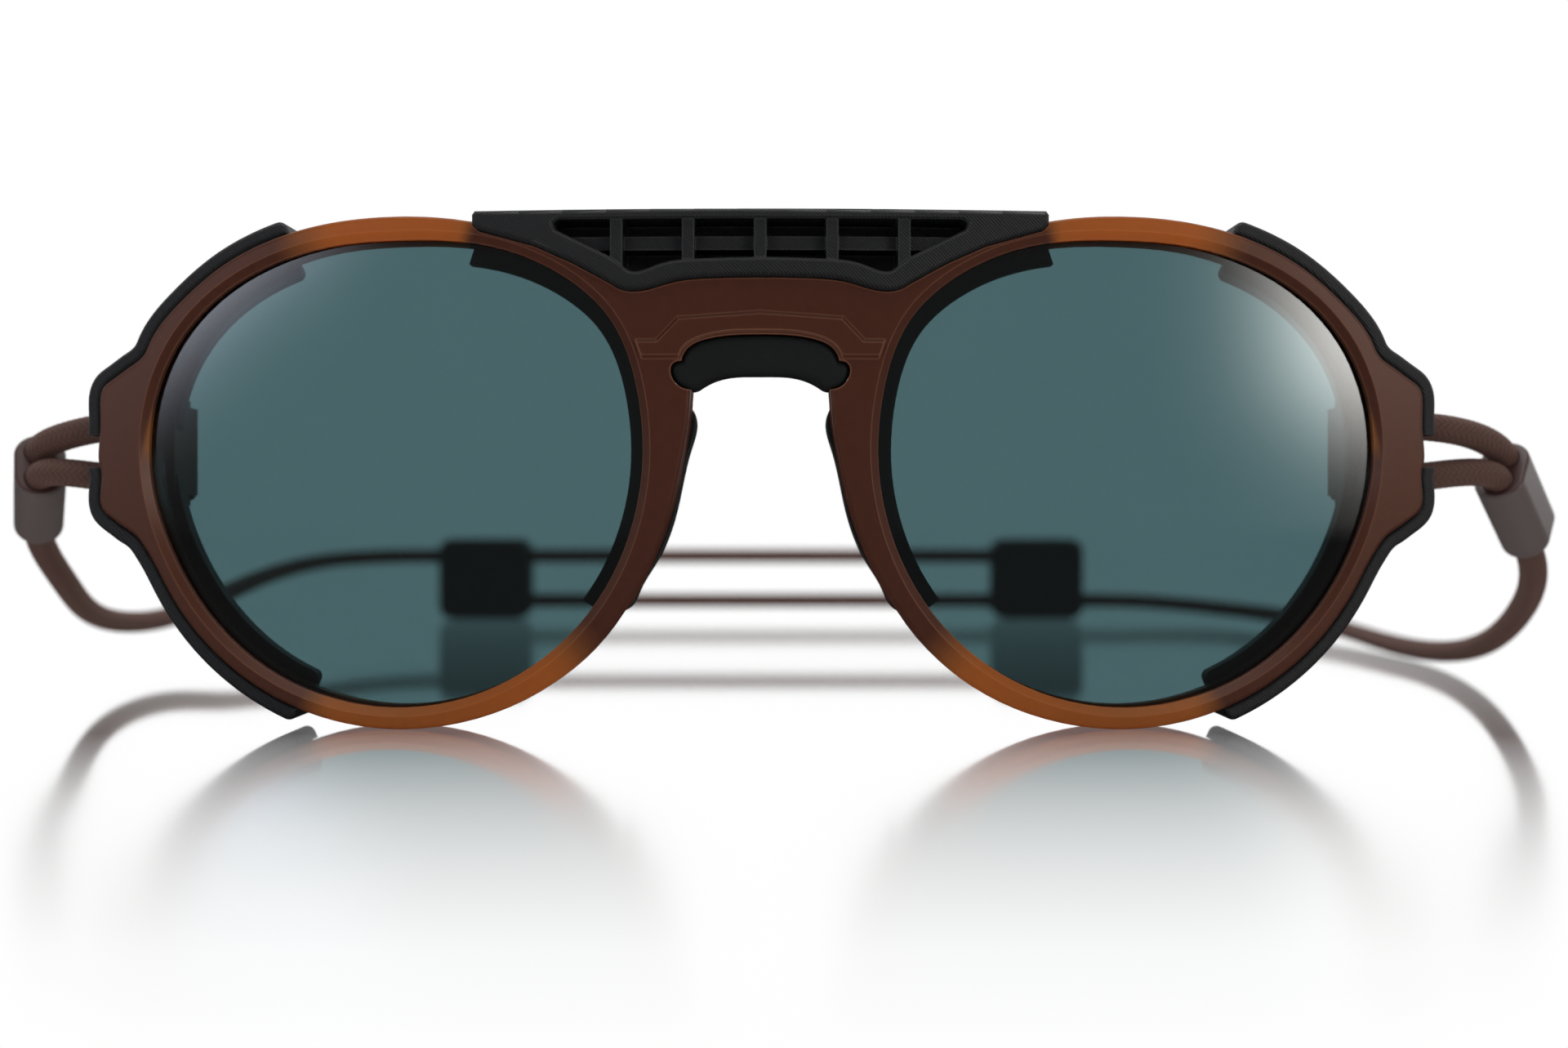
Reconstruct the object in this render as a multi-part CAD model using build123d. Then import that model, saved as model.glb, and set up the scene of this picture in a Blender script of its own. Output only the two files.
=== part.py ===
from build123d import *
import os
from math import cos, radians, sin, sqrt

# Armless glacier glasses: a wrapped front with two panto lenses, rubber light shields, and a cord
# loop in place of temples. Millimetres, +Z up. The front faces -Y and the wearer is at +Y; "left" is
# the -X side. The origin is the middle of the nose saddle: x = 0 is the plane of symmetry, z = 0 the
# crown of the saddle and y = 0 the middle of the saddle pad's width.

# ---- Front: driving sizes ----
WRAP_RADIUS = 360.0  # plan curvature of the front
FACE_Y = -2.5  # front face of the bridge
FRAME_DEPTH = 4.6  # thickness of the rims
LENS_X, LENS_Z = -38.4, -10.3  # centre of the left lens opening
LENS_FRONT, LENS_BACK = 1.3, 3.3  # depths of the lens behind the front face
LENS_GROOVE = 0.8  # how far the lens edge reaches into the rim
BEVEL_WIDTH, BEVEL_DEPTH = 0.8, 0.7  # bevel round each lens opening
EDGE_R = 0.45  # rounded front edges
CLEAR = 0.03  # gap between seated pieces
LIP = 0.04  # gap between the rubber shields and the frame

# Radius of the left lens opening by angle: 0 towards the nose, 90 up. The rim runs from the foot of the
# end piece round the nose side to its shoulder.
OPENING = {-20: 25.5, 0: 26.2, 18: 27.1, 35: 27.95, 50: 27.2, 62: 26.2, 76: 25.05, 90: 24.45, 104: 24.8,
           118: 25.6, 134: 26.8, 150: 27.65, 165: 27.6, 180: 26.9, 198: 25.75, 215: 25.0, 235: 24.5, 270: 24.25,
           295: 24.5, 318: 24.95}
RIM = {-145: 27.15, -120: 26.5, -90: 26.4, -45: 27.7, 0: 28.7, 35: 30.0, 62: 28.2, 90: 26.8, 105: 27.15,
       118: 27.95, 130: 28.85, 142: 29.7, 152: 30.3}

# ---- End pieces: the cord passes through a post and turns back in a closed channel ----
END_SHOULDER = [(-65.5, 3.2), (-65.85, 2.65), (-66.4, 2.1), (-67.2, 1.58), (-68.7, 0.62), (-69.8, -0.09),
                (-70.6, -0.75), (-70.94, -1.6), (-71, -2.8), (-71, -5.5)]
END_FOOT = [(-71, -9.4), (-71, -12.1), (-70.94, -13.3), (-70.55, -14.1), (-69.7, -14.75), (-68.0, -15.9),
            (-66.75, -16.7), (-65.9, -17.7), (-64.7, -19.5), (-63.35, -21.9)]
END_BACK_Y = 13.4
BLOCK_X, BLOCK_Z = (-71.5, -65.0), (-13.3, -1.5)
BLOCK_LIP = ((-65.1, -64.2), (-12.2, -2.4))
CHANNEL_X, CHANNEL_Z = (-69.9, -65.2), (-12.2, -2.6)
CHANNEL_FRONT_Y, COVER_Y = 8.45, 12.0
COVER_FLANGE = ((-70.7, -64.8), (13.43, 14.3), (-12.7, -2.1))

# ---- Shields and pads ----
SIDE_SECTOR = (113.7, 247.5)
SIDE_FLANGE_SECTOR = (117, 246.5)
SIDE_WALL = 1.7
SIDE_FRONT, SIDE_BACK = 0.5, 13.6
TOP_TAPER = [(19, 0), (14.5, 3.5), (10.6, 8), (8.4, 12), (7.3, 15.5), (7, 20)]  # back edge, y and z
LOW_TAPER = [(19, -14.5), (14.5, -18.5), (11.2, -23), (9.2, -28), (7.6, -34), (7.2, -40)]
FLANGE_FRONT, FLANGE_BACK = FRAME_DEPTH + LIP, 6.2
OUTLINE_STEPS = 160  # points that carry a grown outline
SIDE_STEP, BROW_STEP = 1.2, 1.65  # how far the shields' flanges show inside the lens openings
LIP_GAP_Z = (-9.3, -5.8)
BROW_TOP, BROW_FRONT, BROW_BACK = 16.7, -0.8, 5.0
NOSE_SECTOR = (-34, 72)
BAR_Z = (12.7, 14.1)
RIB_PITCH, RIB_WIDTH = 7.35, 1.27
TONGUE = ((-5.0, 5.0), (3.0, 4.9))
TONGUE_DEPTH = (1.6, 3.2)
NOSE_PEGS = [(-9.5, -8.0), (-11.2, -15.0)]
NOSE_PEG_R = 0.7

# ---- Cord and its hardware ----
CORD_R = 1.6
HOLE_R = 1.7
NOTCH_R = 1.95  # passage of the strands through the side shields
ANCHOR_Y, ANCHOR_Z = 10.2, -7.4  # axis between the two cord holes of each end piece
HOLE_STEP = 2.9
TURN_X = -69.85
FERRULE_LEFT = ((-83.0, 15.1, -8.6), (-88.7, 25.2, -14.9))
FERRULE_RIGHT = ((85.1, 15.7, -9.1), (92.7, 23.2, -17.1))
FERRULE_SIZE = (8.2, 5.3, 12.4)
CRIMP_SIZE = (7.4, 4.1)
STRAND_STEP = 1.7  # strands side by side in the ferrule
LOOP_BULGE = {-1: 0.45, 1: 1.05}  # slack of the upper strand on each side
GRIP_DEPTH = 7.0  # where the loop's live strand meets the strap cord
CRIMP_SPAN = (3.6, 6.6)
STRAP_Y = 166.5  # the two straight strands at the back
UPPER_Z, LOWER_Z = -22.6, -32.6
LEFT_RUN = [(-90.0, 33, -22.2), (-92.4, 43, -26.4), (-94.6, 55, -29.2), (-94.6, 70, -30.2), (-93.9, 90, -28.0),
            (-95.0, 110, -25.8), (-94.6, 132, -23.8), (-90.9, 152, -22.8), (-84.5, 162.5, -22.6)]
RIGHT_RUN = [(97.5, 34, -26.0), (99.6, 46, -31.3), (100.6, 60, -34.2), (101.4, 82, -34.9), (103.2, 103, -34.4),
             (101.8, 134, -33.8), (97.0, 152, -33.6), (90.5, 161.2, -33.2), (83.0, 165.3, -32.8)]

# ---- Sliders ----
SLIDER_SIZE = (20.0, 8.0, 17.9)
SLIDER_LEFT_X, SLIDER_RIGHT_X = -64.5, 59.1
SLIDER_Z = (UPPER_Z + LOWER_Z) / 2
RUN_R = 1.65  # running bore
GRIP_R = 1.62  # bores that hold a cord
POCKET_R, POCKET_DEPTH = 2.9, 7.0
CAP_DEPTH = 1.4
STOP_LENGTH = 4.0


# ---- Helpers ----
def mirrored(points):
    """Points from the left edge to x = 0, followed by their mirror image."""
    return list(points) + [(-x, z) for x, z in reversed(points) if abs(x) > 1e-6]


def polar(angle, radius):
    """Point about the left lens centre."""
    return (LENS_X + radius * cos(radians(angle)), LENS_Z + radius * sin(radians(angle)))


def loop(radii, grow=0.0):
    """Closed smooth outline round the left lens centre."""
    return make_face(Spline(*[polar(a, r + grow) for a, r in radii.items()], periodic=True))


def rectangle(x, z):
    return Pos((x[0] + x[1]) / 2, (z[0] + z[1]) / 2) * Rectangle(x[1] - x[0], z[1] - z[0])


def box(x, y, z):
    """Box from three (low, high) pairs."""
    centre = Pos((x[0] + x[1]) / 2, (y[0] + y[1]) / 2, (z[0] + z[1]) / 2)
    return centre * Box(x[1] - x[0], y[1] - y[0], z[1] - z[0])


def prism(face, y0=-20.0, y1=40.0):
    """A face drawn in x and z, extruded from y0 to y1."""
    return extrude(Plane.XZ.offset(-y0) * face, amount=y1 - y0, dir=(0, 1, 0))


def wrap_y(x, depth=0.0):
    """y of the surface a depth behind the wrapped front face."""
    r = WRAP_RADIUS - depth
    return FACE_Y + WRAP_RADIUS - sqrt(r * r - x * x)


def shell(front, back):
    """Curved slab between two depths behind the wrapped front face."""
    axis = Pos(0, FACE_Y + WRAP_RADIUS, -10)
    return axis * (Cylinder(WRAP_RADIUS - front, 120) - Cylinder(WRAP_RADIUS - back, 130))


def layer(face, front, back):
    """The part of a face's prism that lies between two depths."""
    return prism(face) & shell(front, back)


def rod(start, end, radius):
    """Straight round rod between two points."""
    path = Line(start, end)
    return sweep(Plane(origin=start, z_dir=path % 0) * Circle(radius), path=path)


def cord(edges):
    """Cord along a chain of edges."""
    path = Wire(edges)
    return sweep(Plane(origin=path @ 0, z_dir=path % 0) * Circle(CORD_R), path=path)


def largest(shape):
    return max(shape.solids(), key=lambda s: s.volume)


def right_of(shape):
    return mirror(shape, about=Plane.YZ)


def on_depth(edge, depth):
    """True if the edge lies on the surface at a depth."""
    return all(abs((edge @ t).Y - wrap_y((edge @ t).X, depth)) < 0.02 for t in (0.1, 0.5, 0.9))


def lens_distance(point):
    """Distance from the nearer lens centre, seen from the front."""
    return sqrt((abs(point.X) + LENS_X) ** 2 + (point.Z - LENS_Z) ** 2)


# ---- Outlines, drawn for the left half ----
def temple_outline(grow=0.0):
    """Rim and end piece of the left side, grown outwards."""
    rim = [polar(a, r) for a, r in RIM.items()]
    curve = Spline(*END_FOOT, *rim, *END_SHOULDER, periodic=True)
    if not grow:
        return make_face(curve)
    steps = [i / OUTLINE_STEPS for i in range(OUTLINE_STEPS)]
    moved = [curve @ t + (curve % t).rotate(Axis.Z, -90) * grow for t in steps]
    return make_face(Spline(*[p for p in moved if curve.distance_to(p) > 0.98 * grow], periodic=True))


def taper(edge):
    """Region behind the back edge of the side shield, left, from its (y, z) points."""
    back = Polyline(edge[-1], (30, edge[-1][1]), (30, edge[0][1]), edge[0])
    return extrude(Plane.YZ.offset(-85) * make_face([Spline(*edge), back]), amount=50)


def sector(start, end, reach=60.0):
    """Wedge about the left lens centre between two angles."""
    return Polygon((LENS_X, LENS_Z), *[polar(a, reach) for a in (start, (start + end) / 2, end)], align=None)


def pad_outline(grow=0.0):
    """Saddle pad: an arch that ends in two round lobes."""
    def place(points):
        return [(x * (1 + grow / 9), 1.2 + (z - 1.2) * (1 + grow / 2.6)) for x, z in points]

    upper = place(mirrored([(-8.05, 1.3), (-7.3, 2.65), (-5.4, 3.5), (0, 3.95)]))
    lower = place(mirrored([(-6.3, -1.35), (-3.5, -0.16), (0, 0)]))
    lobe = place([(-8.05, 1.3), (-9.1, 0.7), (-8.6, -1.0), (-7.4, -1.6), (-6.3, -1.35)])
    other = [(-x, z) for x, z in lobe]
    return make_face([Spline(*upper), Spline(*lobe), Spline(*lower), Spline(*other)])


def bridge_outline():
    """Bridge web and the two nose legs."""
    edge = [(-16.6, -27.1), (-13.9, -24.0), (-11.3, -19.4), (-9.3, -14.2), (-7.8, -7.5), (-7.2, -3.2), (-6.9, -0.8)]
    under = mirrored(edge + [(-4.6, 1.6), (0, 2.3)])
    over = mirrored([edge[0], (-20, -22), (-26, -10), (-26, 22), (0, 22)])
    return make_face([Spline(*under), Polyline(*over)])


def brow_outline(grow=0.0, top=BROW_TOP):
    """Outer outline of the brow shield."""
    left = [(-29.3 - grow, top), (-29.6 - grow, 16.3), (-29.6 - grow, 15.3), (-29.0 - grow, 14.75 - grow)]
    left += [(-23.2, 13.1 - grow), (-19.2, 11.3 - grow), (-15.2, 9.1 - grow)]
    low = [(-15.2, 9.1 - grow), (-13.4, 8.4 - grow), (-11.3, 8.6 - grow), (-8.9, 9.3 - grow), (-5.3, 9.7 - grow)]
    right = [(-x, z) for x, z in left]
    lower = Spline(*mirrored(low + [(0, 9.8 - grow)]))
    return make_face([Line(left[0], right[0]), Polyline(*left), lower, Polyline(*right)])


def window_outline():
    """Opening of the brow shield's louvre."""
    left = [(-20.7, 15.7), (-21.2, 15.3), (-20.9, 14.6), (-15.4, 11.9), (-14.0, 10.9)]
    low = [(-14.0, 10.9), (-12.9, 10.3), (-11.3, 10.7), (-9.7, 11.25), (-6.5, 11.6), (0, 11.75)]
    right = [(-x, z) for x, z in left]
    return make_face([Line(left[0], right[0]), Polyline(*left), Spline(*mirrored(low)), Polyline(*right)])


# ---- Front frame ----
def block():
    """Deep part of the left end piece that carries the cord."""
    body = prism(temple_outline() & rectangle(BLOCK_X, BLOCK_Z), -10, END_BACK_Y)
    body += prism(rectangle(*BLOCK_LIP), -10, END_BACK_Y)
    return body & shell(FRAME_DEPTH - 0.5, 40)


def cord_cuts():
    """Channel and the two cord holes of the left end piece."""
    cuts = [box(CHANNEL_X, (CHANNEL_FRONT_Y, END_BACK_Y + 5), CHANNEL_Z)]
    for z in (ANCHOR_Z - HOLE_STEP, ANCHOR_Z + HOLE_STEP):
        cuts.append(rod((-75, ANCHOR_Y, z), (TURN_X + 0.5, ANCHOR_Y, z), HOLE_R))
    return cuts


def lens_seat():
    """Groove for the left lens."""
    return layer(loop(OPENING, LENS_GROOVE), LENS_FRONT - CLEAR, LENS_BACK + CLEAR)


def nose_pegs(radius, back):
    return [rod((x, 1.2, z), (x, back, z), radius) for x, z in NOSE_PEGS]


def bridge_plate():
    """Raised plate of the bridge, with its cranked upper edge."""
    top = [(-14.6, 3.5), (-10.7, 3.5), (-8.5, 5.8), (0, 6.4)]
    plate = layer(Polygon(*mirrored(top), (14.6, 1.5), (-14.6, 1.5), align=None), -0.4, 0.5)
    plate = chamfer([e for e in plate.edges() if on_depth(e, -0.4)], 0.38)
    rim = prism(loop(OPENING, BEVEL_WIDTH + 0.5))
    return plate - rim - right_of(rim) - prism(pad_outline(0.4))


def front_frame():
    half = temple_outline()
    opening = loop(OPENING)
    body = layer(half + right_of(half) + bridge_outline() - opening - right_of(opening), 0, FRAME_DEPTH)
    body = largest(body)
    front = [e for e in body.edges() if on_depth(e, 0)]
    body = chamfer([e for e in front if e.length > 150], BEVEL_WIDTH, BEVEL_DEPTH)
    front = [e for e in body.edges() if on_depth(e, 0)]
    body = fillet([e for e in front if 60 < e.length < 150], EDGE_R)
    body -= layer(brow_outline(LIP, 25), -1, FRAME_DEPTH + 1)
    body -= layer(pad_outline(CLEAR), -1, FRAME_DEPTH + 1)
    body += bridge_plate()
    body += [block(), right_of(block())]
    for cut in cord_cuts() + [lens_seat()] + nose_pegs(NOSE_PEG_R + CLEAR, 6):
        body -= cut
        body -= right_of(cut)
    (x0, x1), (z0, z1) = TONGUE
    slot = rectangle((x0 - CLEAR, x1 + CLEAR), (z0 - 3, z1 + CLEAR))
    body -= layer(slot, TONGUE_DEPTH[0] - CLEAR, TONGUE_DEPTH[1] + CLEAR)
    return largest(body)


# ---- Parts of the front, left ones drawn ----
def lens():
    return layer(loop(OPENING, LENS_GROOVE - 0.05), LENS_FRONT, LENS_BACK)


def side_shield():
    """Rubber shield gripping the rim from the temple side, left."""
    wall = (temple_outline(SIDE_WALL) - temple_outline(LIP)) & sector(*SIDE_SECTOR)
    body = largest(layer(wall, SIDE_FRONT, SIDE_BACK))
    ends = body.edges().filter_by(Axis.Y).filter_by(lambda e: abs((e @ 0.5).X) < 56)
    body = fillet([e for e in ends if lens_distance(e @ 0.5) > 27.95], 0.9)
    body = fillet([e for e in body.edges() if on_depth(e, SIDE_FRONT)], 0.5)
    body -= [taper(TOP_TAPER), taper(LOW_TAPER)]
    flange = (temple_outline(0.7) - loop(OPENING, -SIDE_STEP)) & sector(*SIDE_FLANGE_SECTOR)
    flange = largest(layer(flange, FLANGE_FRONT, FLANGE_BACK))
    tips = flange.edges().filter_by(Axis.Y).filter_by(lambda e: lens_distance(e @ 0.5) < 25)
    flange = fillet(tips, 0.8)
    flange -= box((-75, BLOCK_X[1] + LIP), (-5, 30), (BLOCK_Z[0] - LIP, BLOCK_Z[1] + LIP))
    flange -= box((-75, BLOCK_LIP[0][1] + LIP), (-5, 30), (BLOCK_LIP[1][0] - LIP, BLOCK_LIP[1][1] + LIP))
    for piece in flange.solids():
        body += piece
    low, high = ANCHOR_Z - HOLE_STEP, ANCHOR_Z + HOLE_STEP
    for z in (low, high):
        body -= rod((-80, ANCHOR_Y, z), (-70, ANCHOR_Y, z), NOTCH_R)
    body -= box((-80, -70), (ANCHOR_Y - NOTCH_R, ANCHOR_Y + NOTCH_R), (low, high))
    body -= box((-80, -70), (0, ANCHOR_Y), LIP_GAP_Z)
    return body


def cord_cover():
    """Cover that closes the cord channel from behind, left."""
    x, z = CHANNEL_X, CHANNEL_Z
    plug = box((x[0] + CLEAR, x[1] - CLEAR), (COVER_Y, END_BACK_Y + 0.3), (z[0] + CLEAR, z[1] - CLEAR))
    flange = box(*COVER_FLANGE)
    flange = fillet(flange.edges().filter_by(Axis.Y), 0.6)
    return plug + flange


def nose_pad():
    """Soft pad behind the left nose leg."""
    outline = [(-8.4, -2.7), (-10.1, -3.4), (-10.6, -7.5), (-11.2, -13.0), (-12.9, -19.0), (-14.7, -22.4)]
    outline += [(-15.2, -24.1), (-14.5, -24.5), (-13.0, -22.6), (-11.1, -19.4), (-9.05, -14.2)]
    outline += [(-7.5, -7.5), (-7.0, -3.9)]
    body = layer(make_face(Spline(*outline, periodic=True)), FRAME_DEPTH + CLEAR, 8.0)
    body = chamfer([e for e in body.edges() if on_depth(e, 8.0)], 0.5)
    for peg in nose_pegs(NOSE_PEG_R, 4):
        body += peg
    return body


def brow_shield():
    """Rubber louvre over the bridge with its flanges behind the nose side of the lenses."""
    body = layer(brow_outline(), BROW_FRONT, BROW_BACK)
    body = fillet([e for e in body.edges() if on_depth(e, BROW_FRONT)], 0.45)
    body -= layer(window_outline(), -5, 3.6)
    body = chamfer([e for e in body.edges() if on_depth(e, BROW_FRONT) and is_window(e @ 0.5)], 0.25)
    for i in range(-2, 3):
        x = i * RIB_PITCH
        rib = rectangle((x - RIB_WIDTH / 2, x + RIB_WIDTH / 2), (9.8, 16.0))
        body += layer(rib & grown_window(), -0.4, 3.8)
    body += layer(rectangle((-22.5, 22.5), BAR_Z) & grown_window(), 0.7, 3.8)
    body += layer(rectangle((-29.2, 29.2), (15.7, BROW_TOP)), BROW_BACK - 0.5, 13.0)
    back = layer(brow_outline(), BROW_BACK - 0.5, FLANGE_BACK)
    ring = loop(OPENING, 0.9) & sector(*NOSE_SECTOR)
    link = loop(OPENING, 1.6) & sector(22, NOSE_SECTOR[1])
    flange = layer(ring + link, FLANGE_FRONT, FLANGE_BACK) - prism(loop(OPENING, -BROW_STEP))
    return body + back + flange + right_of(flange)


def is_window(point):
    """True along the border of the louvre's opening."""
    return abs(point.X) < 21.3 and 10 < point.Z < 15.9


def grown_window():
    """The brow outline just inside its border, so that ribs join the border."""
    return brow_outline(-0.3)


def bridge_pad():
    """Saddle pad with the tongue that keys it into the bridge."""
    body = layer(pad_outline(), 0.3, 4.7)
    body = fillet([e for e in body.edges() if on_depth(e, 0.3)], 0.7)
    body = fillet([e for e in body.edges() if on_depth(e, 4.7)], 0.5)
    (x0, x1), (z0, z1) = TONGUE
    return body + layer(rectangle((x0, x1), (z0 - 0.5, z1)), *TONGUE_DEPTH)


# ---- Cord, ferrules and sliders ----
def ferrule_plane(ends):
    """Plane on top of a ferrule: x across the two strands, z along the cord."""
    top, low = (Vector(*p) for p in ends)
    along = (low - top).normalized()
    across = (Vector(0, 0, 1) - along * along.Z).normalized()
    return Plane(origin=top, x_dir=across, z_dir=along)


def ferrule(plane):
    wide, narrow, length = FERRULE_SIZE
    body = extrude(plane * SlotOverall(wide, narrow), amount=length)
    body = fillet(body.faces().sort_by(Axis(plane.origin, plane.z_dir))[-1].edges(), 0.9)
    body = fillet(body.faces().sort_by(Axis(plane.origin, plane.z_dir))[0].edges(), 0.4)
    body -= extrude(plane * Pos(STRAND_STEP, 0) * Circle(GRIP_R), amount=9.5)
    body -= extrude(plane * Pos(-STRAND_STEP, 0) * Circle(GRIP_R), amount=length)
    start, end = CRIMP_SPAN
    return body - extrude(plane.offset(start) * SlotOverall(*CRIMP_SIZE), amount=end - start)


def crimp(plane):
    start, end = CRIMP_SPAN
    ring = SlotOverall(CRIMP_SIZE[0] - 2 * CLEAR, CRIMP_SIZE[1] - 2 * CLEAR)
    ring -= [Pos(x, 0) * Circle(GRIP_R) for x in (-STRAND_STEP, STRAND_STEP)]
    return extrude(plane.offset(start + CLEAR) * ring, amount=end - start - 2 * CLEAR)


def cord_loop(plane, side):
    """Cord from the ferrule through the end piece and back; side is -1 or 1."""
    out = Vector(side, 0, 0)
    step = Vector(0, 0, HOLE_STEP)
    hole = Vector(side * 71.2, ANCHOR_Y, ANCHOR_Z)
    turn = Vector(side * -TURN_X, ANCHOR_Y, ANCHOR_Z)
    high, low = (plane.from_local_coords(Vector(x, 0, 0)) for x in (STRAND_STEP, -STRAND_STEP))
    along = plane.z_dir
    return cord([
        Line(high + along * 9.4, high),
        Spline(high, hole + step, tangents=(-along, -out), tangent_scalars=(0.7, LOOP_BULGE[side])),
        Line(hole + step, turn + step),
        ThreePointArc(turn + step, turn - out * HOLE_STEP, turn - step),
        Line(turn - step, hole - step),
        Spline(hole - step, low, tangents=(out, along), tangent_scalars=(0.7, 0.7)),
        Line(low, low + along * (GRIP_DEPTH - CLEAR)),
    ])


def strap_cord(plane, run, side, z, end_x):
    """Cord from a ferrule round to its near slider and through it."""
    start = plane.from_local_coords(Vector(-STRAND_STEP, 0, GRIP_DEPTH))
    exit_point = plane.from_local_coords(Vector(-STRAND_STEP, 0, FERRULE_SIZE[2]))
    reach = Vector(end_x + side * (SLIDER_SIZE[0] + 0.5), STRAP_Y, z)
    points = [exit_point] + [Vector(*p) for p in run] + [reach]
    tangents = (plane.z_dir, Vector(-side, 0, 0))
    run = Spline(*points, tangents=tangents, tangent_scalars=(1, 1))
    return cord([Line(start, exit_point), run, Line(reach, Vector(end_x, STRAP_Y, z))])


def slider():
    """Slider about its middle: running bore above, gripping bore and knot pocket below."""
    length, depth, height = SLIDER_SIZE
    step = (UPPER_Z - LOWER_Z) / 2
    body = Box(length, depth, height)
    body = fillet(body.edges().filter_by(Axis.Y), 3.0)
    body = chamfer(body.faces().filter_by(Axis.Y).edges(), 0.8)
    half = length / 2
    body -= rod((-half - 1, 0, step), (half + 1, 0, step), RUN_R)
    body -= rod((-half - 1, 0, -step), (half + 1, 0, -step), GRIP_R)
    return body - rod((-half - 1, 0, -step), (-half + POCKET_DEPTH, 0, -step), POCKET_R)


def slider_cap():
    half, step = SLIDER_SIZE[0] / 2, (UPPER_Z - LOWER_Z) / 2
    return rod((-half, 0, -step), (-half + CAP_DEPTH, 0, -step), POCKET_R - CLEAR)


def cord_stop():
    half, step = SLIDER_SIZE[0] / 2, (UPPER_Z - LOWER_Z) / 2
    end = -half + POCKET_DEPTH - CLEAR
    body = rod((end - STOP_LENGTH, 0, -step), (end, 0, -step), POCKET_R - 0.1)
    body = chamfer(body.edges().filter_by(GeomType.CIRCLE), 0.6)
    return body - rod((end - STOP_LENGTH - 1, 0, -step), (end + 1, 0, -step), CORD_R + CLEAR)


def cord_end():
    half, step = SLIDER_SIZE[0] / 2, (UPPER_Z - LOWER_Z) / 2
    end = -half + POCKET_DEPTH - CLEAR
    return rod((end - STOP_LENGTH - 0.3, 0, -step), (half - CLEAR, 0, -step), CORD_R)


def build():
    left, right = ferrule_plane(FERRULE_LEFT), ferrule_plane(FERRULE_RIGHT)
    half = SLIDER_SIZE[0] / 2
    inner_left, inner_right = SLIDER_LEFT_X + half, SLIDER_RIGHT_X - half
    at_left = Pos(SLIDER_LEFT_X, STRAP_Y, SLIDER_Z)
    at_right = Pos(SLIDER_RIGHT_X, STRAP_Y, SLIDER_Z) * Rot(0, 180, 0)
    span = ((inner_left + CLEAR, STRAP_Y), (inner_right - CLEAR, STRAP_Y))
    parts = {
        "front_frame": front_frame(),
        "brow_shield": brow_shield(),
        "bridge_pad": bridge_pad(),
        "cord_loop_left": cord_loop(left, -1),
        "cord_loop_right": cord_loop(right, 1),
        "cord_left": strap_cord(left, LEFT_RUN, -1, UPPER_Z, inner_left),
        "cord_right": strap_cord(right, RIGHT_RUN, 1, LOWER_Z, inner_right),
        "cord_left_span": rod((*span[0], UPPER_Z), (*span[1], UPPER_Z), CORD_R),
        "cord_right_span": rod((*span[0], LOWER_Z), (*span[1], LOWER_Z), CORD_R),
        "cord_left_end": at_right * cord_end(),
        "cord_right_end": at_left * cord_end(),
    }
    pairs = {"lens": lens, "side_shield": side_shield, "nose_pad": nose_pad, "cord_cover": cord_cover}
    for name, make in pairs.items():
        parts[name + "_left"] = make()
        parts[name + "_right"] = right_of(parts[name + "_left"])
    for side, plane, place in (("left", left, at_left), ("right", right, at_right)):
        parts["ferrule_" + side] = ferrule(plane)
        parts["crimp_" + side] = crimp(plane)
        parts["slider_" + side] = place * slider()
        parts["slider_cap_" + side] = place * slider_cap()
        parts["cord_stop_" + side] = place * cord_stop()
    return parts


if __name__ == "__main__":
    os.makedirs("parts", exist_ok=True)
    for name, part in build().items():
        export_step(part, f"parts/{name}.step")
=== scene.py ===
import math
import bpy
import numpy as np
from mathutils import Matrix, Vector
from mathutils.bvhtree import BVHTree


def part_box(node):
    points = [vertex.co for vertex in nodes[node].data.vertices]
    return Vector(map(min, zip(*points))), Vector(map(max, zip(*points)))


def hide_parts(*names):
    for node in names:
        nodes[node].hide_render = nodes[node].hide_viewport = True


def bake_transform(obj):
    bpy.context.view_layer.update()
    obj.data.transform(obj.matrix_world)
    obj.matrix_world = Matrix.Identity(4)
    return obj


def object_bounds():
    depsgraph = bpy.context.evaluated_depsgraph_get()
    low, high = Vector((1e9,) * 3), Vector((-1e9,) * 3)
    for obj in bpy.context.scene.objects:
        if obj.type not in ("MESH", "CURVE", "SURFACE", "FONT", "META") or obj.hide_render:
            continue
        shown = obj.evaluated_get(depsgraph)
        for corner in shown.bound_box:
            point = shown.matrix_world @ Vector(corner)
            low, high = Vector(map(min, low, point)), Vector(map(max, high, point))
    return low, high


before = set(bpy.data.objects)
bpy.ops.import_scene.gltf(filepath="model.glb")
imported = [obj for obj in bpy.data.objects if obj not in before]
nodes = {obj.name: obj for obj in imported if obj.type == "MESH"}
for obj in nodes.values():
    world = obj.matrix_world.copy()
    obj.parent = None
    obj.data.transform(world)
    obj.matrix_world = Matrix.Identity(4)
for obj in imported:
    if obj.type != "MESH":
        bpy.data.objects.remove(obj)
cad_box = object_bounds()
MM = 0.001
DEGREES = 180 / math.pi

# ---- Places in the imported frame, in millimetres ----
LENS_X, LENS_Z = 38.4, -10.3  # middle of the right lens
FACE_Y = -2.5  # front face of the bridge
CAMERA_BACK = 140.0  # from the face to the camera
CAMERA_X, CAMERA_Z = 2.42, -15.4
MOUTH_FACING = (0, -0.707, 0.707)  # rough direction of the ferrules' mouths

# ---- The floor, in metres ----
FLOOR_Z = cad_box[0][2]
FLOOR_REACH = 3.0

# ---- Cord braid: carriers each way, the length of one crossing, and the relief ----
CORD_R = 1.575 * MM
CARRIERS = 12
CELL = 2 * math.pi * CORD_R / CARRIERS
AROUND = 48
STEP = CELL / 4
RELIEF = 0.05 * MM
BRAID_MAP = "braid"

WHITE = (1, 1, 1, 1)


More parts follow.
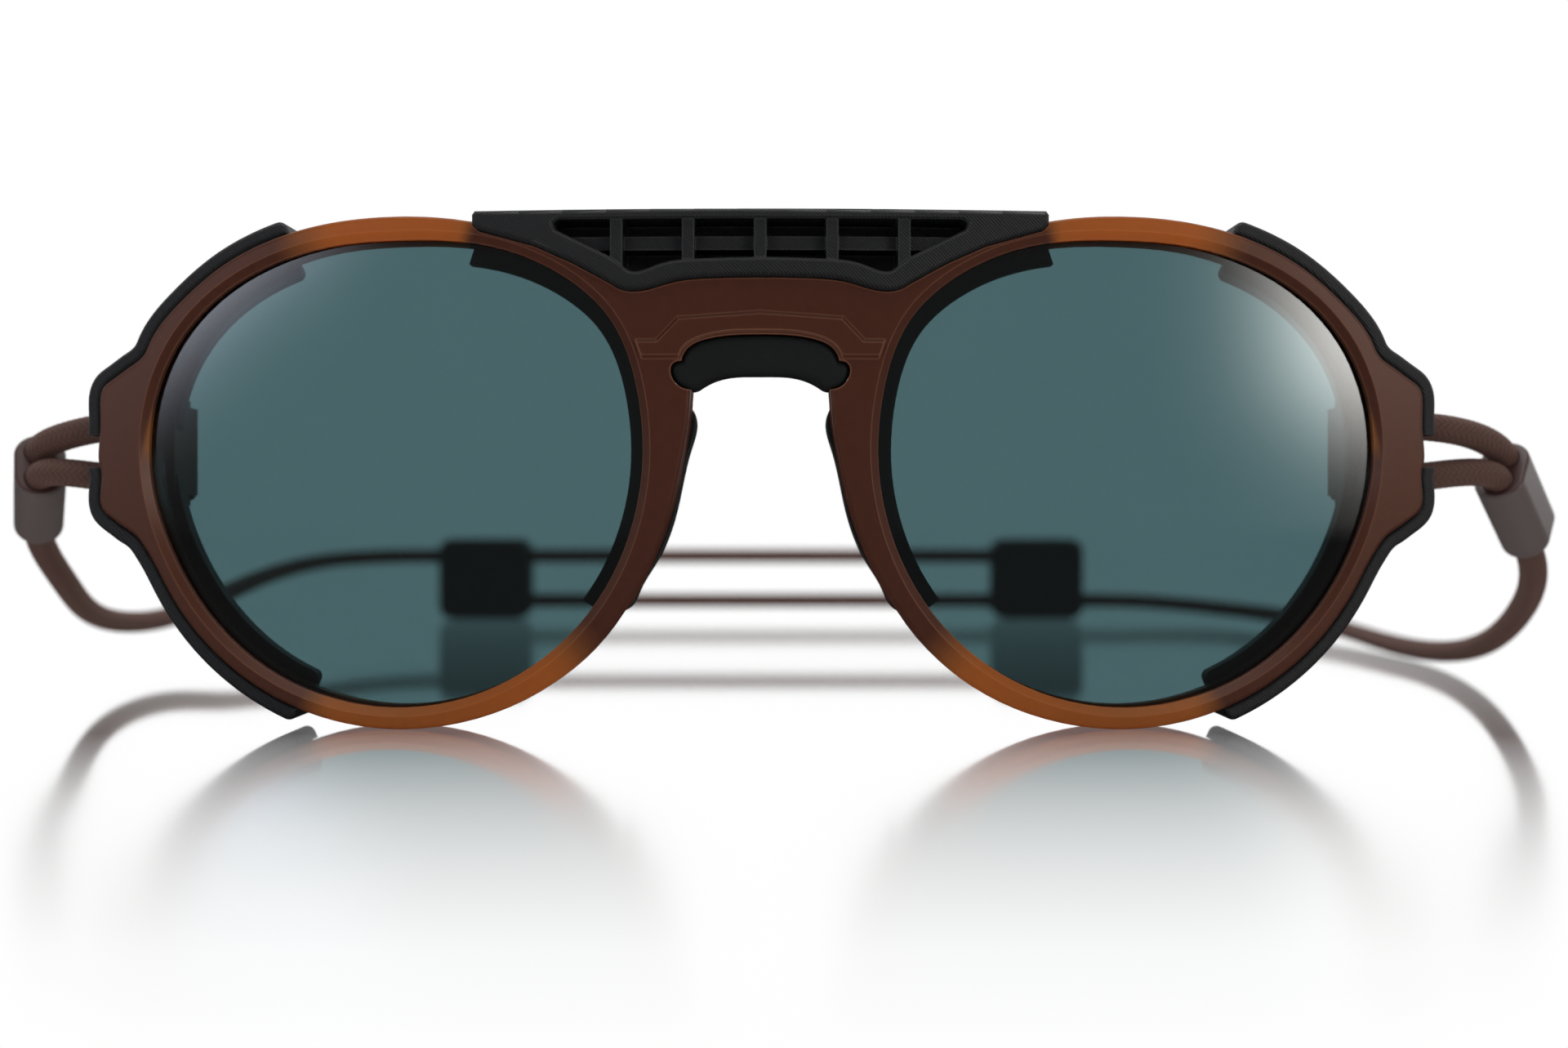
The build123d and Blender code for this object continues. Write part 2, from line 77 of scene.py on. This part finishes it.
# ---- Material helpers ----
class Nodes:
    """Short way of writing the shader tree of a material or a world."""

    def __init__(self, owner, kind="Material"):
        owner.use_nodes = True
        self.owner = owner
        self.tree = owner.node_tree
        self.tree.nodes.clear()
        self.out = self.tree.nodes.new("ShaderNodeOutput" + kind)

    def put(self, socket, value):
        """Links or sets a socket; None leaves it as it is."""
        if isinstance(value, bpy.types.NodeSocket):
            self.tree.links.new(value, socket)
        elif value is not None:
            socket.default_value = value

    def add(self, kind, output=0, props=None, **inputs):
        """A node with its inputs set by name, or by number as i0, i1 and so on."""
        node = self.tree.nodes.new("ShaderNode" + kind)
        for key, value in (props or {}).items():
            setattr(node, key, value)
        for key, value in inputs.items():
            slot = int(key[1:]) if key[0] == "i" and key[1:].isdigit() else key.replace("_", " ")
            self.put(node.inputs[slot], value)
        return node.outputs[output]

    def math(self, op, a, b=0.0, c=None, clamp=False):
        node = self.tree.nodes.new("ShaderNodeMath")
        node.operation = op
        node.use_clamp = clamp
        for socket, value in zip(node.inputs, (a, b, c)):
            self.put(socket, value)
        return node.outputs[0]

    def mix(self, factor, a, b):
        node = self.tree.nodes.new("ShaderNodeMix")
        node.data_type = "RGBA"
        self.put(node.inputs[0], factor)
        self.put(node.inputs[6], a)
        self.put(node.inputs[7], b)
        return node.outputs[2]

    def dot(self, a, b):
        return self.add("VectorMath", output="Value", props={"operation": "DOT_PRODUCT"}, i0=a, i1=b)

    def split(self, vector):
        node = self.tree.nodes.new("ShaderNodeSeparateXYZ")
        self.put(node.inputs[0], vector)
        return node.outputs

    def ramp(self, value, low, high, out_low=0.0, out_high=1.0):
        """Smooth step from out_low at low to out_high at high."""
        node = self.tree.nodes.new("ShaderNodeMapRange")
        node.interpolation_type = "SMOOTHSTEP"
        for socket, v in zip(node.inputs, (value, low, high, out_low, out_high)):
            self.put(socket, v)
        return node.outputs[0]

    def band(self, value, start, full, fade, end):
        """One between full and fade, nothing before start and after end."""
        return self.math("MULTIPLY", self.ramp(value, start, full), self.ramp(value, end, fade))

    def bell(self, value, middle, width):
        """Bell curve, one at the middle."""
        off = self.math("DIVIDE", self.math("SUBTRACT", value, middle), width)
        return self.math("EXPONENT", self.math("MULTIPLY", self.math("MULTIPLY", off, off), -0.5))

    def noise(self, vector, scale, detail, rough=0.5):
        return self.add("TexNoise", Vector=vector, Scale=scale, Detail=detail, Roughness=rough)

    def spread(self, noise, low, high):
        """A noise, which mostly lies between 0.3 and 0.7, spread from low to high."""
        return self.ramp(noise, 0.3, 0.7, low, high)

    def position(self):
        """Rest position in millimetres."""
        point = self.add("TexCoord", output="Object")
        return self.add("VectorMath", props={"operation": "SCALE"}, i0=point, i3=1 / MM)

    def bump(self, height, depth, strength, rounding=0.0):
        """Normal bumped so many millimetres deep, over edges that look rounded by so many."""
        edges = self.add("Bevel", props={"samples": 6}, Radius=rounding * MM) if rounding else None
        return self.add("Bump", Height=height, Distance=depth * MM, Strength=strength, Normal=edges)

    def edges(self, radius, level):
        """A level along edges within so many millimetres, nothing on flat faces: the mask of painted edge
        highlights.
        """
        rounded = self.add("Bevel", props={"samples": 8}, Radius=radius * MM)
        flat = self.add("NewGeometry", output="Normal")
        turned = self.dot(rounded, flat)
        return self.math("MULTIPLY", self.ramp(turned, 0.995, 0.93), level)

    def edge_on(self, level):
        """A level that falls to nothing on faces seen edge on, which would mirror the bright background."""
        facing = self.add("LayerWeight", output="Facing", Blend=0.5)
        return self.math("MULTIPLY", self.ramp(facing, 0.7, 0.93, 1.0, 0.0), level)

    def finish(self, shader):
        self.put(self.out.inputs[0], shader)
        return self.owner


def rgb(r, g, b):
    """Linear colour from 0-255 display values."""
    shown = [c / 255 for c in (r, g, b)]
    return tuple(c / 12.92 if c < 0.04045 else ((c + 0.055) / 1.055) ** 2.4 for c in shown) + (1,)


def material(name):
    return Nodes(bpy.data.materials.new(name))


# ---- Materials ----
# Arcs of the frame painted amber as light shining through it, and a painted glint, in degrees round each
# lens with 0 at the nose and 90 on top:
# where the painted light starts, where it is full, where it begins to fade and where it ends.
AMBER_TOP = (70, 74, 104, 120)
AMBER_LOW = (-114, -104, -52, -36)
AMBER_GLINT = (164, 171, 173, 178)
GLINT_LEVEL = 0.5
GLINT_RIM = (27.9, 27.45)  # radius in millimetres where the glint ends and where it is full


def frame_material():
    """Translucent brown plastic, dark where rubber backs it; amber where light comes through, partly a
    translucent shader and partly painted light in the colour, with a painted glint and painted edge
    highlights.
    """
    n = material("frame_plastic")
    p = n.position()
    x, _, z = n.split(p)
    side = n.math("ABSOLUTE", x)
    dx = n.math("SUBTRACT", LENS_X, side)
    dz = n.math("SUBTRACT", z, LENS_Z)
    angle = n.math("MULTIPLY", n.math("ARCTAN2", dz, dx), DEGREES)
    wobble = n.noise(p, 0.12, 2.0)
    angle = n.math("ADD", angle, n.math("MULTIPLY", n.math("SUBTRACT", wobble, 0.5), 6.0))
    radius = n.math("SQRT", n.math("ADD", n.math("MULTIPLY", dx, dx), n.math("MULTIPLY", dz, dz)))
    # Painted glint along the inner bevel on the temple side of each lens.
    glint = n.math("MULTIPLY", n.band(angle, *AMBER_GLINT), GLINT_LEVEL)
    glint = n.math("MULTIPLY", glint, n.ramp(radius, *GLINT_RIM))
    backlit_arcs = n.math("ADD", n.band(angle, *AMBER_TOP), n.band(angle, *AMBER_LOW))
    amber = n.math("ADD", backlit_arcs, glint, clamp=True)
    grain = n.noise(p, 1.4, 4.0)
    dark = n.mix(grain, rgb(57, 30, 21), rgb(66, 36, 27))
    # Painted backlight: the amber colour of light shining through the plastic, on the arcs and the glint.
    painted_backlight = n.mix(grain, rgb(138, 82, 38), rgb(150, 91, 43))
    colour = n.mix(amber, dark, painted_backlight)
    # Painted highlight along the edges, lighter brown on the dark plastic and orange on the amber arcs.
    colour = n.mix(n.edges(0.35, 0.5), colour, n.mix(amber, rgb(122, 82, 64), rgb(190, 125, 75)))
    fine = n.noise(p, 9.0, 3.0)
    rough = n.spread(fine, 0.34, 0.42)
    bump = n.bump(fine, 0.01, 0.25, 0.12)
    body = n.add("BsdfPrincipled", Base_Color=colour, Roughness=rough, Normal=bump,
                 Specular_IOR_Level=n.edge_on(0.22), Specular_Tint=(1.0, 0.62, 0.45, 1),
                 Coat_Weight=n.edge_on(0.06), Coat_Roughness=0.2, Coat_Normal=bump)
    through = n.add("BsdfTranslucent", Color=rgb(230, 138, 50), Normal=bump)
    mixed = n.add("MixShader", i0=n.math("MULTIPLY", amber, 0.38), i1=body, i2=through)
    return n.finish(mixed)


def rubber_material(name, low, high, lines, strength, shine):
    """Moulded rubber with a fine diagonal tooling texture of so many lines to the millimetre."""
    n = material(name)
    p = n.position()
    x, y, z = n.split(p)
    across = n.math("ADD", n.math("ADD", x, z), n.math("MULTIPLY", y, 0.6))
    wave = n.math("SINE", n.math("MULTIPLY", across, lines * 2 * math.pi))
    speck = n.noise(p, 6.0, 4.0)
    patch = n.noise(p, 0.15, 3.0)
    colour = n.mix(n.math("MULTIPLY", n.math("ADD", speck, patch), 0.5), low, high)
    colour = n.mix(n.math("MULTIPLY", n.ramp(wave, -1, 1), 0.6), colour, high)
    # Painted highlight along the edges.
    colour = n.mix(n.edges(0.3, 0.5), colour, rgb(62, 64, 64))
    height = n.math("ADD", n.math("MULTIPLY", wave, 0.5), n.math("MULTIPLY", speck, 0.6))
    bump = n.bump(height, 0.04, strength, 0.3)
    rough = n.spread(speck, 0.42, 0.55)
    return n.finish(n.add("BsdfPrincipled", Base_Color=colour, Roughness=rough, Normal=bump,
                          Specular_IOR_Level=n.edge_on(shine)))


def lens_material(name):
    """Tinted see-through lens that mirrors more the more it is seen edge on."""
    n = material(name)
    p = n.position()
    smudge = n.noise(p, 0.08, 3.0)
    tint = n.mix(smudge, (0.258, 0.371, 0.386, 1), (0.27, 0.383, 0.398, 1))
    clear = n.add("BsdfTransparent", Color=tint)
    fine = n.noise(p, 0.5, 2.0)
    gloss = n.add("BsdfGlossy", Color=WHITE, Roughness=n.spread(fine, 0.012, 0.02))
    facing = n.add("LayerWeight", output="Facing", Blend=0.5)
    mirror = n.math("MULTIPLY_ADD", n.math("POWER", facing, 5.0), 0.9, 0.08)
    return n.finish(n.add("MixShader", i0=mirror, i1=clear, i2=gloss))


def plastic_material(name, low, high):
    """Finely grained plastic in two mingled shades."""
    n = material(name)
    p = n.position()
    speck = n.noise(p, 5.0, 4.0)
    patch = n.noise(p, 0.3, 3.0)
    colour = n.mix(n.math("MULTIPLY", n.math("ADD", speck, patch), 0.5), low, high)
    bump = n.bump(speck, 0.02, 0.5, 0.3)
    return n.finish(n.add("BsdfPrincipled", Base_Color=colour, Roughness=n.spread(speck, 0.35, 0.5),
                          Normal=bump, Specular_IOR_Level=0.35))


def ferrule_material():
    """Grey-brown plastic, darker and browner on the mouth where the strands go in."""
    n = material("ferrule_plastic")
    speck = n.noise(n.position(), 5.0, 4.0)
    mouth = n.dot(n.add("TexCoord", output="Normal"), MOUTH_FACING)
    body = n.mix(speck, rgb(72, 63, 61), rgb(87, 77, 75))
    colour = n.mix(n.ramp(mouth, 0.6, 0.78), body, n.mix(speck, rgb(56, 36, 33), rgb(66, 44, 41)))
    bump = n.bump(speck, 0.02, 0.5, 0.2)
    rough = n.spread(speck, 0.3, 0.44)
    return n.finish(n.add("BsdfPrincipled", Base_Color=colour, Roughness=rough, Normal=bump,
                          Specular_IOR_Level=n.edge_on(0.35)))


def brass_material():
    """Slightly streaked brass."""
    n = material("crimp_brass")
    streak = n.noise(n.position(), 4.0, 5.0)
    colour = n.mix(streak, (0.55, 0.36, 0.14, 1), (0.7, 0.5, 0.22, 1))
    rough = n.spread(streak, 0.25, 0.45)
    return n.finish(n.add("BsdfPrincipled", Base_Color=colour, Metallic=1.0, Roughness=rough,
                          Normal=n.bump(streak, 0.02, 0.5)))


def braid_material():
    """Two-over-two braid of fine twisted yarns, drawn from the cord's own turn and length."""
    n = material("cord_braid")
    u, v, _ = n.split(n.add("UVMap", props={"uv_map": BRAID_MAP}))
    a, b = n.math("ADD", u, v), n.math("SUBTRACT", u, v)
    fa, fb = n.math("FRACT", a), n.math("FRACT", b)
    place = n.math("FLOORED_MODULO", n.math("ADD", n.math("FLOOR", a), n.math("FLOOR", b)), 4.0)
    over = n.math("LESS_THAN", place, 1.5)
    under = n.math("SUBTRACT", 1.0, over)
    across = n.math("ADD", n.math("MULTIPLY", fb, over), n.math("MULTIPLY", fa, under))
    yarn = n.math("ABSOLUTE", n.math("SINE", n.math("MULTIPLY", across, 3 * math.pi)))
    off = n.math("ABSOLUTE", n.math("MULTIPLY_ADD", across, 2.0, -1.0))
    edge = n.math("SUBTRACT", 1.0, n.math("POWER", off, 3.0))
    weave = n.math("MULTIPLY", n.math("MULTIPLY_ADD", yarn, 0.55, 0.45), edge)
    p = n.position()
    fuzz = n.noise(p, 9.0, 5.0, 0.65)
    patch = n.noise(p, 0.25, 3.0)
    # Painted shade: the braid is darkest in the grooves between yarns and lighter on their crowns.
    colour = n.mix(weave, rgb(30, 19, 16), rgb(88, 58, 49))
    colour = n.mix(n.math("MULTIPLY", fuzz, 0.55), colour, rgb(82, 58, 51))
    colour = n.mix(n.math("MULTIPLY", patch, 0.4), colour, rgb(66, 45, 39))
    height = n.math("ADD", weave, n.math("MULTIPLY", fuzz, 0.4))
    return n.finish(n.add("BsdfPrincipled", Base_Color=colour, Roughness=n.spread(fuzz, 0.62, 0.8),
                          Specular_IOR_Level=n.edge_on(0.2), Sheen_Weight=0.1, Sheen_Roughness=0.4,
                          Sheen_Tint=(0.75, 0.5, 0.42, 1), Normal=n.bump(height, 0.05, 0.8)))


frame_mat = frame_material()
lens_mat = lens_material("lens_glass")
shield_mat = rubber_material("shield_rubber", rgb(12, 12, 12), rgb(31, 31, 32),
                             lines=2.6, strength=0.8, shine=0.25)
pad_mat = rubber_material("pad_rubber", rgb(16, 17, 17), rgb(28, 29, 29),
                          lines=3.4, strength=0.2, shine=0.08)
slider_mat = plastic_material("slider_plastic", rgb(22, 23, 23), rgb(40, 41, 41))
cover_mat = plastic_material("cover_plastic", rgb(24, 25, 26), rgb(42, 44, 45))
ferrule_mat = ferrule_material()
crimp_mat = brass_material()
braid_mat = braid_material()
PAINT = {
    "front_frame": frame_mat, "brow_shield": shield_mat,
    "side_shield_left": shield_mat, "side_shield_right": shield_mat,
    "bridge_pad": pad_mat, "nose_pad_left": pad_mat, "nose_pad_right": pad_mat,
    "cord_cover_left": cover_mat, "cord_cover_right": cover_mat,
    "lens_left": lens_mat, "lens_right": lens_mat,
    "ferrule_left": ferrule_mat, "ferrule_right": ferrule_mat,
    "crimp_left": crimp_mat, "crimp_right": crimp_mat,
}
for name, obj in nodes.items():
    mat = PAINT.get(name)
    if mat is None:
        mat = braid_mat if name.startswith("cord_") and "stop" not in name else slider_mat
    obj.data.materials.clear()
    obj.data.materials.append(mat)


# ---- Braided cords in place of the plain CAD cords ----
FEELERS = 12  # rays that feel for the wall of a CAD cord at each step
CAP_REACH = 1.5 * STEP  # how near the end cap is when the feeling stops
LOOP_INSET = 0.03 * MM  # from the end of a cord to a point just inside its loop
SMOOTHINGS = 3
OFF_EDGE = 1e-4  # keeps the relief's vertices off the exact edges of its cells


def centre_line(name, start, ahead):
    """Middle of a round CAD cord, felt out from inside, from a point on one end cap to the other."""
    mesh = nodes[name].data
    tree = BVHTree.FromPolygons([v.co for v in mesh.vertices], [p.vertices for p in mesh.polygons])
    path = [Vector(start)]
    ahead = Vector(ahead).normalized()
    point = path[0] + ahead * STEP
    while tree.ray_cast(point, ahead, CAP_REACH)[0] is None:
        side = ahead.orthogonal().normalized()
        other = ahead.cross(side)
        found = []
        for i in range(FEELERS):
            turn = i * math.tau / FEELERS
            found.append(tree.ray_cast(point, side * math.cos(turn) + other * math.sin(turn))[0])
        middle = sum(found, Vector()) / FEELERS
        path.append(middle)
        ahead = (middle - path[max(0, len(path) - 4)]).normalized()
        point = middle + ahead * STEP
    path.append(tree.ray_cast(point, ahead, CAP_REACH)[0])
    return path


def straight(a, b):
    """Points from a to b, one step apart."""
    count = max(2, round((Vector(b) - Vector(a)).length / STEP))
    return [Vector(a).lerp(Vector(b), i / count) for i in range(count + 1)]


def relief(u, v):
    """Height of the braid at u crossings round and v crossings along, 0 to 1."""
    a, b = u + v, u - v
    place = np.mod(np.floor(a) + np.floor(b), 4)
    over = place < 1.5
    across = np.where(over, np.mod(b, 1), np.mod(a, 1))
    along = (np.where(over, place, place - 2) + np.where(over, np.mod(a, 1), np.mod(b, 1))) / 2
    return (1 - (2 * across - 1) ** 2) * (1 - (2 * along - 1) ** 4)


def even_line(path):
    """The path smoothed and cut into even steps, with the length reached at each point."""
    line = np.array([list(p) for p in path])
    for _ in range(SMOOTHINGS):
        line[1:-1] = (line[:-2] + line[1:-1] + line[2:]) / 3
    gaps = np.linalg.norm(np.diff(line, axis=0), axis=1)
    reach = np.concatenate([[0], np.cumsum(gaps)])
    at = np.linspace(0, reach[-1], int(reach[-1] / STEP) + 1)
    return np.stack([np.interp(at, reach, line[:, k]) for k in range(3)], axis=1), at


def cross_axes(line):
    """Two directions across the line at each of its points, carried along without twisting."""
    tangent = np.gradient(line, axis=0)
    tangent /= np.linalg.norm(tangent, axis=1)[:, None]
    side = np.cross(tangent[0], (0, 0, 1))
    sides = []
    for t in tangent:
        side = side - t * (side @ t)
        side /= np.linalg.norm(side)
        sides.append(side)
    return np.array(sides), np.cross(tangent, sides)


def braided_cord(name, path):
    """Closed tube with woven relief along a path, with its turn and length as a UV map."""
    line, at = even_line(path)
    sides, others = cross_axes(line)
    count = len(at)
    turn = np.arange(AROUND) / AROUND
    u, v = np.meshgrid(turn * CARRIERS, at / CELL)
    radius = CORD_R - RELIEF + RELIEF * relief(u + OFF_EDGE, v + OFF_EDGE)
    round_x = np.cos(turn * 2 * np.pi)[None, :, None]
    round_y = np.sin(turn * 2 * np.pi)[None, :, None]
    out = round_x * sides[:, None] + round_y * others[:, None]
    verts = (line[:, None] + out * radius[:, :, None]).reshape(-1, 3)
    ring, spoke = np.meshgrid(np.arange(count - 1), np.arange(AROUND), indexing="ij")
    after = (spoke + 1) % AROUND
    here, there = ring * AROUND, (ring + 1) * AROUND
    quads = np.stack([here + spoke, here + after, there + after, there + spoke], axis=-1)
    last = (count - 1) * AROUND
    caps = [tuple(range(AROUND))[::-1], tuple(last + i for i in range(AROUND))]
    mesh = bpy.data.meshes.new(name)
    mesh.from_pydata(verts, [], [tuple(q) for q in quads.reshape(-1, 4)] + caps)
    corners = np.stack([np.stack([spoke, spoke + 1, spoke + 1, spoke], axis=-1) * CARRIERS / AROUND,
                        np.stack([at[ring], at[ring], at[ring + 1], at[ring + 1]], axis=-1) / CELL], axis=-1)
    uv = np.concatenate([corners.reshape(-1, 2), np.zeros((2 * AROUND, 2))])
    mesh.uv_layers.new(name=BRAID_MAP).data.foreach_set("uv", uv.astype(np.float32).ravel())
    mesh.polygons.foreach_set("use_smooth", [True] * len(mesh.polygons))
    mesh.materials.append(braid_mat)
    obj = bpy.data.objects.new(name, mesh)
    bpy.context.scene.collection.objects.link(obj)
    return obj


def half_strap(name, side):
    """One side's cord, from its end in the far slider to its ferrule, and the loop round its end piece."""
    span_low, span_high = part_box(f"cord_{name}_span")
    end_low, end_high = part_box(f"cord_{name}_end")
    middle = (span_low + span_high) / 2
    near, away = (span_low.x, end_high.x) if side < 0 else (span_high.x, end_low.x)
    knot = Vector((away, middle.y, middle.z))
    exit_point = Vector((near, middle.y, middle.z))
    strap = centre_line(f"cord_{name}", exit_point, (side, 0, 0))
    ahead = (strap[-1] - strap[-5]).normalized()
    turn_back = centre_line(f"cord_loop_{name}", strap[-1] + ahead * LOOP_INSET, ahead)
    cord = braided_cord(f"braided_cord_{name}", straight(knot, exit_point)[:-1] + strap)
    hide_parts(f"cord_{name}", f"cord_{name}_span", f"cord_{name}_end")
    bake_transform(cord)
    loop = braided_cord(f"braided_loop_{name}", turn_back)
    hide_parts(f"cord_loop_{name}")
    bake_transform(loop)


half_strap("left", -1)
half_strap("right", 1)


# ---- Stage, light and camera ----
MIRROR_REACH = 72.0  # millimetres from the front over which the floor's reflection fades to a trace
MIRROR_END = 88.0  # and where the trace ends
MIRROR_NEAR, MIRROR_FAR = 0.9, 0.06
BESIDE_WEIGHT, BEHIND_WEIGHT = 0.3, 0.18  # the fading is slower beside and behind the front than before it


def floor():
    """Polished white floor whose reflection fades away from the front and is faint seen from behind."""
    n = material("floor_white")
    p = n.position()
    x, y, _ = n.split(p)
    low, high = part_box("front_frame")
    beside = n.math("SUBTRACT", n.math("ABSOLUTE", x), high.x / MM)
    out_x = n.math("MULTIPLY", n.math("MAXIMUM", beside, 0.0), BESIDE_WEIGHT)
    ahead = n.math("MAXIMUM", n.math("SUBTRACT", low.y / MM, y), 0.0)
    behind = n.math("MAXIMUM", n.math("SUBTRACT", y, low.y / MM), 0.0)
    out_y = n.math("ADD", ahead, n.math("MULTIPLY", behind, BEHIND_WEIGHT))
    away = n.math("SQRT", n.math("ADD", n.math("MULTIPLY", out_x, out_x), n.math("MULTIPLY", out_y, out_y)))
    mirror = n.add("MapRange", i0=away, i1=0.0, i2=MIRROR_REACH, i3=MIRROR_NEAR, i4=MIRROR_FAR)
    mirror = n.math("ADD", mirror, n.ramp(away, MIRROR_REACH, MIRROR_END, 0.0, -MIRROR_FAR))
    from_y = n.split(n.add("NewGeometry", output="Incoming"))[1]
    mirror = n.math("MULTIPLY", mirror, n.ramp(from_y, 0.0, -0.5, 0.15, 1.0))
    speck = n.noise(p, 0.03, 3.0)
    matte = n.add("BsdfDiffuse", Color=n.mix(speck, (0.93, 0.93, 0.93, 1), (0.96, 0.96, 0.96, 1)))
    gloss = n.add("BsdfGlossy", Color=WHITE, Roughness=n.ramp(away, 0, 60, 0.05, 0.2))
    white = n.add("Emission", Color=WHITE, Strength=1.0)
    seen = n.add("MixShader", i0=mirror, i1=white, i2=gloss)
    dark = n.add("BsdfDiffuse", Color=(0.05, 0.05, 0.05, 1))
    others = n.add("MixShader", i0=n.add("LightPath", output="Is Glossy Ray"), i1=matte, i2=dark)
    by_ray = n.add("MixShader", i0=n.add("LightPath", output="Is Camera Ray"), i1=others, i2=seen)
    mesh = bpy.data.meshes.new("floor")
    signs = [(-1, -1), (1, -1), (1, 1), (-1, 1)]
    mesh.from_pydata([(a * FLOOR_REACH, b * FLOOR_REACH, FLOOR_Z) for a, b in signs], [], [(0, 1, 2, 3)])
    obj = bpy.data.objects.new("floor", mesh)
    bpy.context.scene.collection.objects.link(obj)
    mesh.materials.append(n.finish(by_ray))


# Brightness of the surroundings, against 1 for the white behind the object.
FRONT_LEVEL = 0.08
SKY_LEVEL = 0.14
ZENITH_LEVEL = 2.0
RIGHT_LEVEL = 12.0
LEFT_LEVEL = 7.0

# The two lights that show as streaks in the lenses, in degrees: azimuth from the camera's side of the
# object and height above the horizon.
RIGHT_AZIMUTH, RIGHT_WIDTH = 45.7, 5.2
RIGHT_FOOT, RIGHT_FOOT_BLUR = 5.0, 1.4  # height of its soft lower edge
RIGHT_TOP = (30, 18)  # heights where it ends and where it is full
LEFT_SLOPE = (-0.28, 0.552)  # of azimuth and of height across the slanting streak
LEFT_MIDDLE, LEFT_WIDTH = 18.6, 1.67
LEFT_SPAN = (-66, -56, -34, -24)  # azimuths, as in AMBER_TOP


def studio():
    """White all round for the camera; for the object bright behind, dim in front, with two soft lights."""
    world = bpy.data.worlds.new("studio")
    bpy.context.scene.world = world
    n = Nodes(world, "World")
    x, y, z = n.split(n.add("TexCoord", output="Generated"))
    azimuth = n.math("MULTIPLY", n.math("ARCTAN2", x, n.math("MULTIPLY", y, -1.0)), DEGREES)
    height = n.math("MULTIPLY", n.math("ARCSINE", z), DEGREES)
    level = n.ramp(y, -0.35, 0.25, FRONT_LEVEL, 1.0)
    level = n.math("ADD", level, n.ramp(z, 0.2, 0.9, 0.0, SKY_LEVEL))
    level = n.math("ADD", level, n.ramp(z, 0.78, 0.95, 0.0, ZENITH_LEVEL))
    below = n.math("DIVIDE", n.math("SUBTRACT", RIGHT_FOOT, height), RIGHT_FOOT_BLUR)
    right = n.bell(azimuth, RIGHT_AZIMUTH, RIGHT_WIDTH)
    right = n.math("DIVIDE", right, n.math("ADD", 1.0, n.math("EXPONENT", below)))
    right = n.math("MULTIPLY", n.math("MULTIPLY", right, n.ramp(height, *RIGHT_TOP)), RIGHT_LEVEL)
    turned = n.math("MULTIPLY", azimuth, LEFT_SLOPE[0])
    raised = n.math("MULTIPLY", height, LEFT_SLOPE[1])
    left = n.bell(n.math("ADD", turned, raised), LEFT_MIDDLE, LEFT_WIDTH)
    left = n.math("MULTIPLY", n.math("MULTIPLY", left, n.band(azimuth, *LEFT_SPAN)), LEFT_LEVEL)
    base = n.add("Background", Color=WHITE, Strength=level)
    box_right = n.add("Background", Color=(1.0, 0.99, 0.95, 1), Strength=right)
    box_left = n.add("Background", Color=(0.85, 0.9, 1.05, 1), Strength=left)
    lights = n.add("AddShader", i0=n.add("AddShader", i0=base, i1=box_right), i1=box_left)
    white = n.add("Background", Color=WHITE, Strength=1.0)
    n.finish(n.add("MixShader", i0=n.add("LightPath", output="Is Camera Ray"), i1=lights, i2=white))


def softbox():
    """Wide soft light above and a little in front of the object, aimed at it."""
    light = bpy.data.lights.new("top_softbox", "AREA")
    light.shape = "RECTANGLE"
    light.size, light.size_y = 0.5, 0.25
    light.energy = 0.22
    obj = bpy.data.objects.new("top_softbox", light)
    bpy.context.scene.collection.objects.link(obj)
    obj.location = (0, -0.15, 0.5)
    obj.rotation_euler = (-obj.location).to_track_quat("-Z", "Y").to_euler()


def photo_camera():
    """Level camera close in front of the bridge, focused on its front face."""
    focus = bpy.data.objects.new("focus", None)
    focus.location = (0, FACE_Y * MM, 0)
    bpy.context.scene.collection.objects.link(focus)
    lens = bpy.data.cameras.new("camera")
    lens.sensor_width = 36
    lens.lens = 31.5
    lens.clip_start = 0.005
    lens.dof.use_dof = True
    lens.dof.focus_object = focus
    lens.dof.aperture_fstop = 12
    camera = bpy.data.objects.new("camera", lens)
    camera.location = (CAMERA_X * MM, (FACE_Y - CAMERA_BACK) * MM, CAMERA_Z * MM)
    camera.rotation_euler = (math.pi / 2, 0, 0)
    bpy.context.scene.collection.objects.link(camera)
    bpy.context.scene.camera = camera


floor()
studio()
softbox()
photo_camera()
bpy.context.scene.view_settings.view_transform = "Standard"
